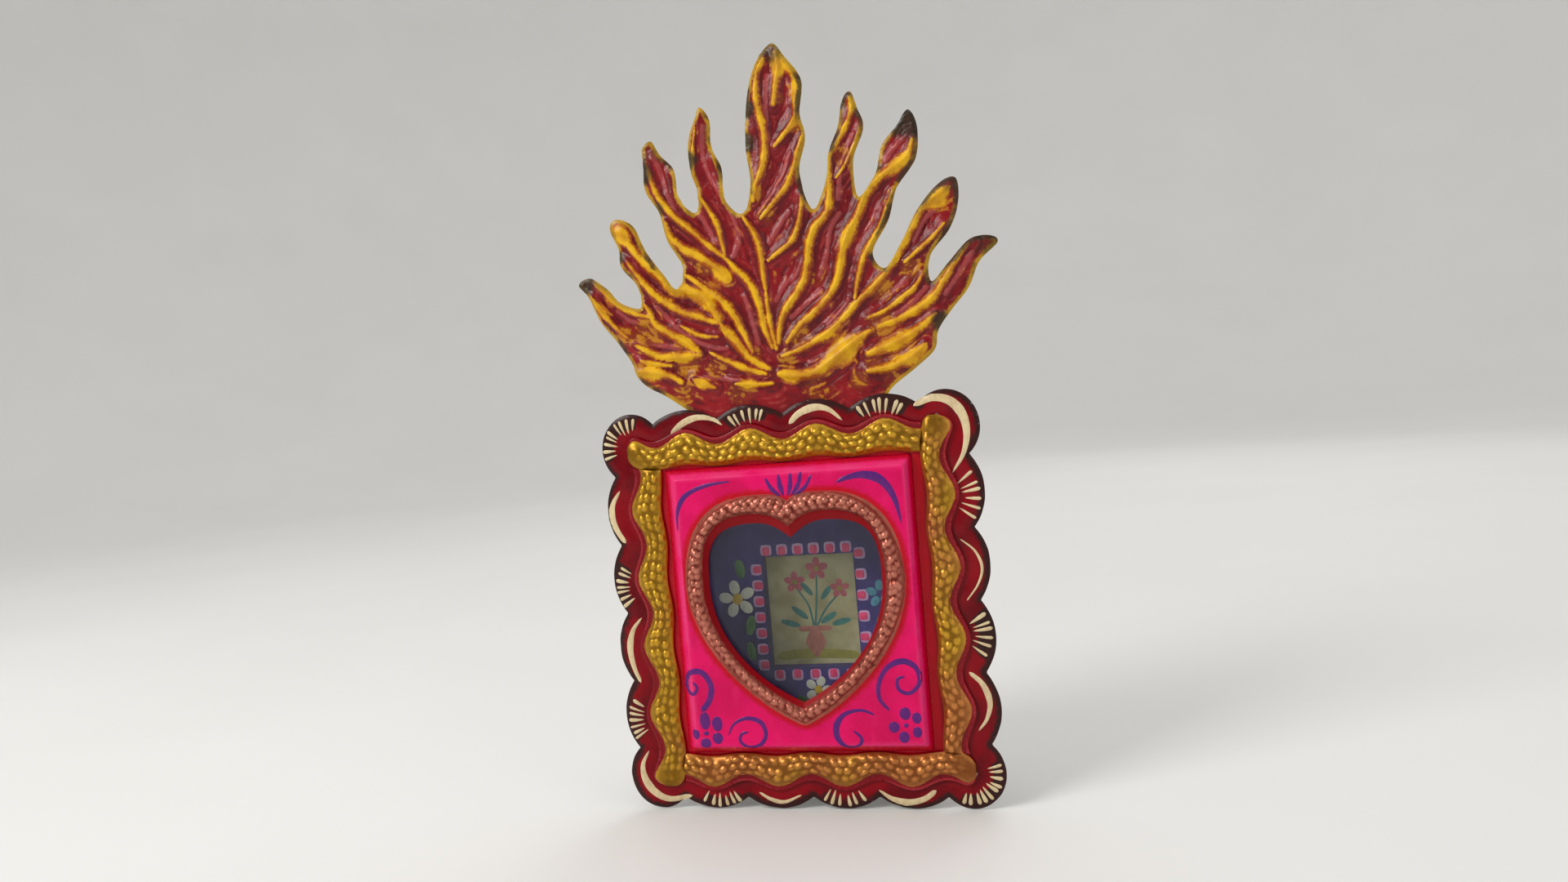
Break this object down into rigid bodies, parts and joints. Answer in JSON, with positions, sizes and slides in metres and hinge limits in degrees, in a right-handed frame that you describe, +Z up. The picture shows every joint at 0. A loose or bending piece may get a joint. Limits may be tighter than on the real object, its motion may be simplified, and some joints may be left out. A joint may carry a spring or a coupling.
{
  "type": "tin wall nicho",
  "caption": "Shallow tin wall box with a scalloped, beaded frame, a glazed heart window, a crest of hammered flames, a hinged rear door and a hanging ring.",
  "frame": {"origin": "on the wall plane, at the middle of the flange along the top of the box's rear", "axes": "+Z up, towards the tip of the flames; +Y into the wall; -Y is the front"},
  "size_m": [0.1068, 0.0302, 0.1908],
  "materials": {
    "bare_tin": "satin",
    "steel_wire": "satin",
    "crimson_enamel": "gloss",
    "gold_paint": "satin",
    "pink_enamel": "gloss",
    "flame_enamel": "gloss",
    "violet_enamel": "satin",
    "clear_glass": "polished",
    "grey_board": "matte",
    "printed_card": "satin"
  },
  "bodies": {
    "nicho": {"scalloped_frame": "crimson_enamel", "beaded_strip_top": "gold_paint", "beaded_strip_right": "gold_paint", "beaded_strip_bottom": "gold_paint", "beaded_strip_left": "gold_paint", "heart_panel": "pink_enamel", "flame_crest": "flame_enamel", "glass_pane": "clear_glass", "glass_tab_left": "bare_tin", "glass_tab_right": "bare_tin", "glass_tab_top": "bare_tin", "glass_tab_bottom": "bare_tin", "box_shell": "bare_tin", "niche_panel": "violet_enamel", "hinge_leaf": "bare_tin", "hinge_wire": "steel_wire", "hanger_strap": "bare_tin"},
    "door": {"rear_door": "bare_tin", "picture_backing": "grey_board", "picture_card": "printed_card"},
    "ring": {"hanging_ring": "steel_wire"}
  },
  "joints": [
    {"name": "door_hinge", "type": "hinge", "parent": "nicho", "child": "door", "pos_m": [-0.0338, -0.0014, -0.0349], "axis": [0, 0, 1], "range_deg": [0, 150]},
    {"name": "ring_swing", "type": "hinge", "parent": "nicho", "child": "ring", "pos_m": [0, -0.005, 0.0033], "axis": [-1, 0, 0], "range_deg": [0, 110]}
  ]
}
